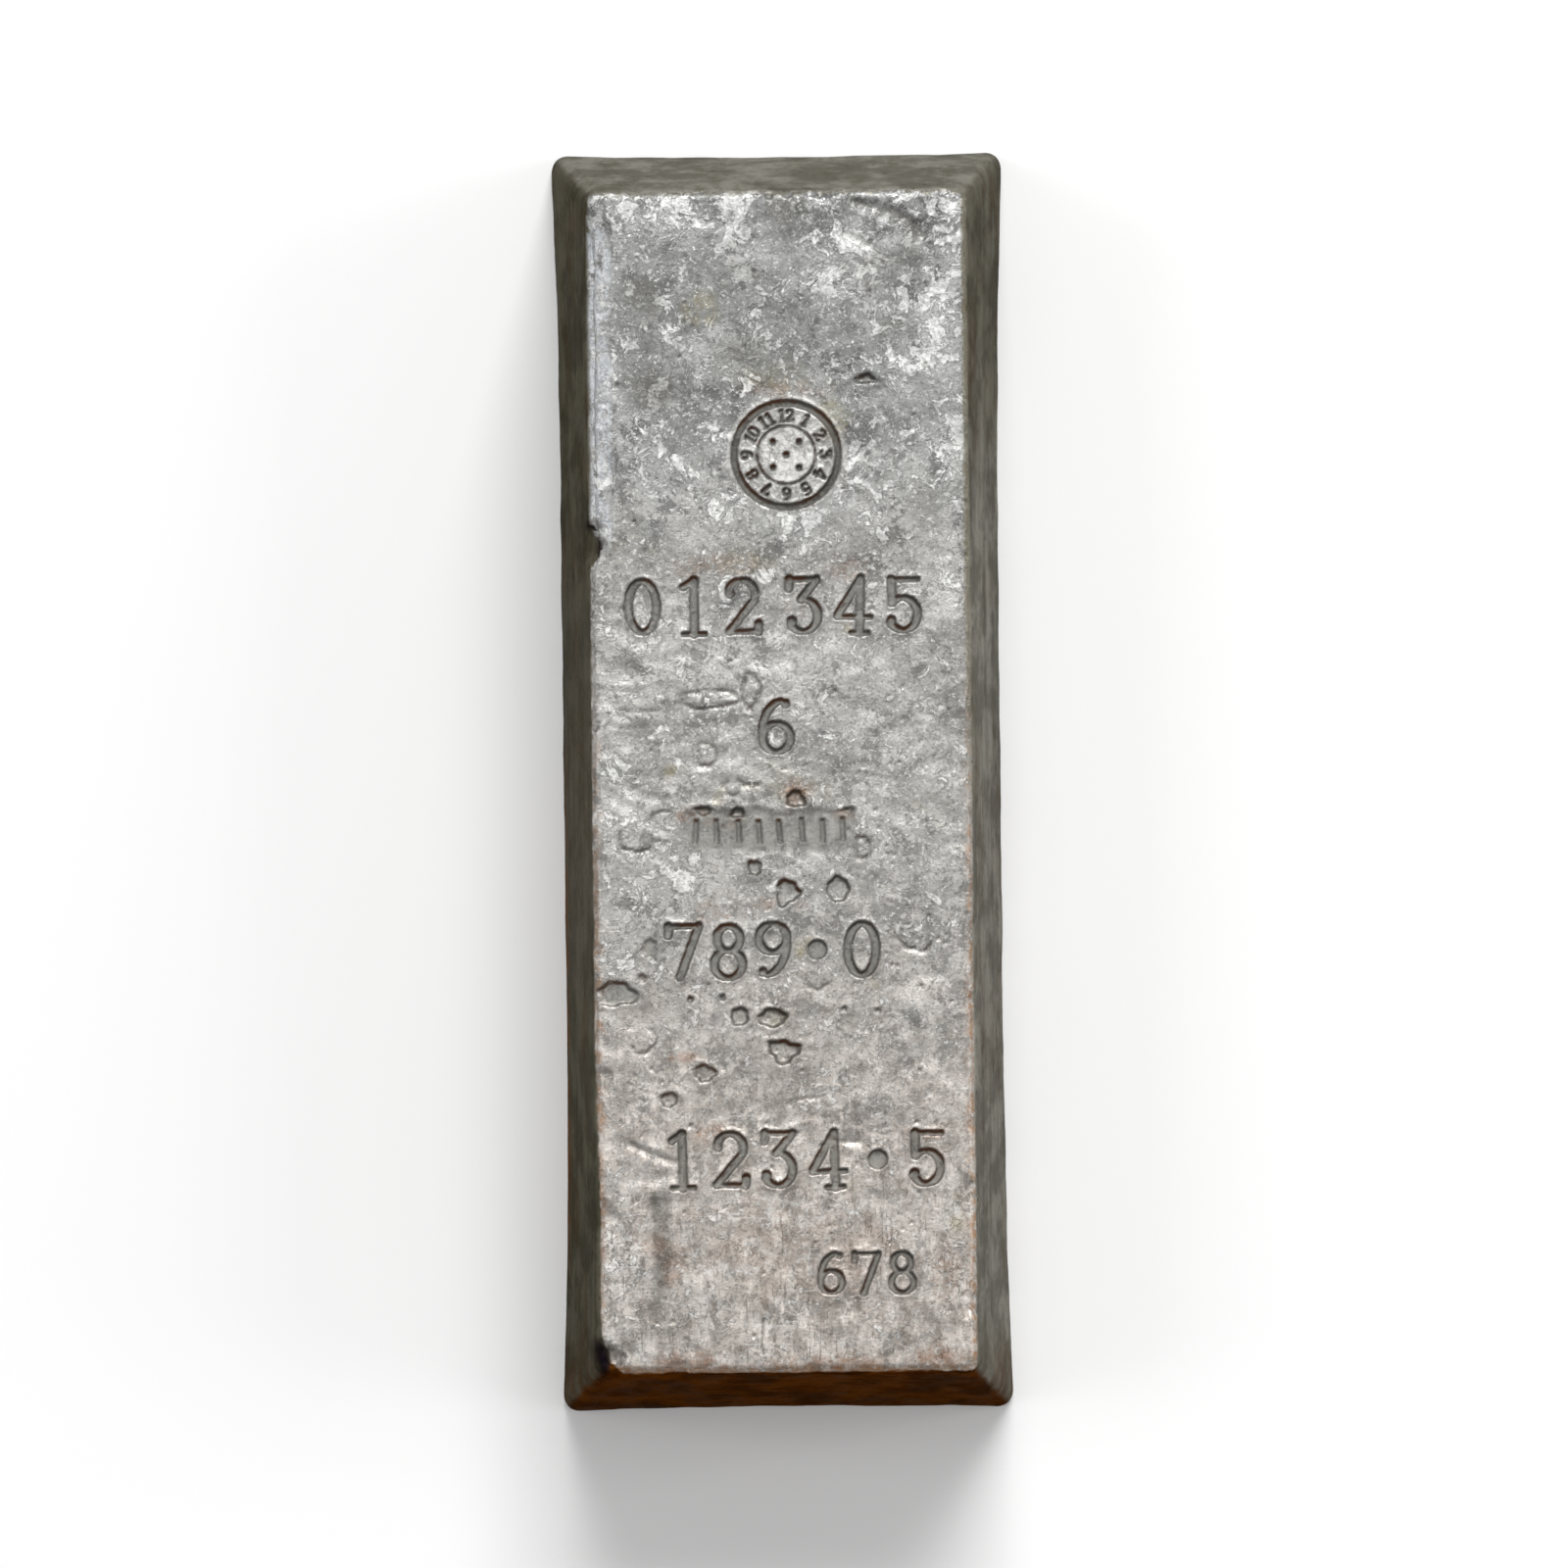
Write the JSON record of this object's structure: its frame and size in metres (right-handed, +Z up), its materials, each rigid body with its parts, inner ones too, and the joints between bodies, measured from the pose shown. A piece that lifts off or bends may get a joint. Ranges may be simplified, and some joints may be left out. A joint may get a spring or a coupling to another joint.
{
  "type": "silver ingot",
  "caption": "Long cast metal bar with drafted walls and hollowed sides, lying on its large face, with plain digits and a ring mark struck into the top.",
  "frame": {"origin": "middle of the resting face, on the surface that the bar lies on", "axes": "+Y along the bar towards the ring mark, +Z up out of the struck face, +X to the right of the digits as they are read"},
  "size_m": [0.1206, 0.3354, 0.0915],
  "materials": {
    "cast_silver": "satin"
  },
  "bodies": {
    "root": {"ingot": "cast_silver"}
  },
  "joints": []
}
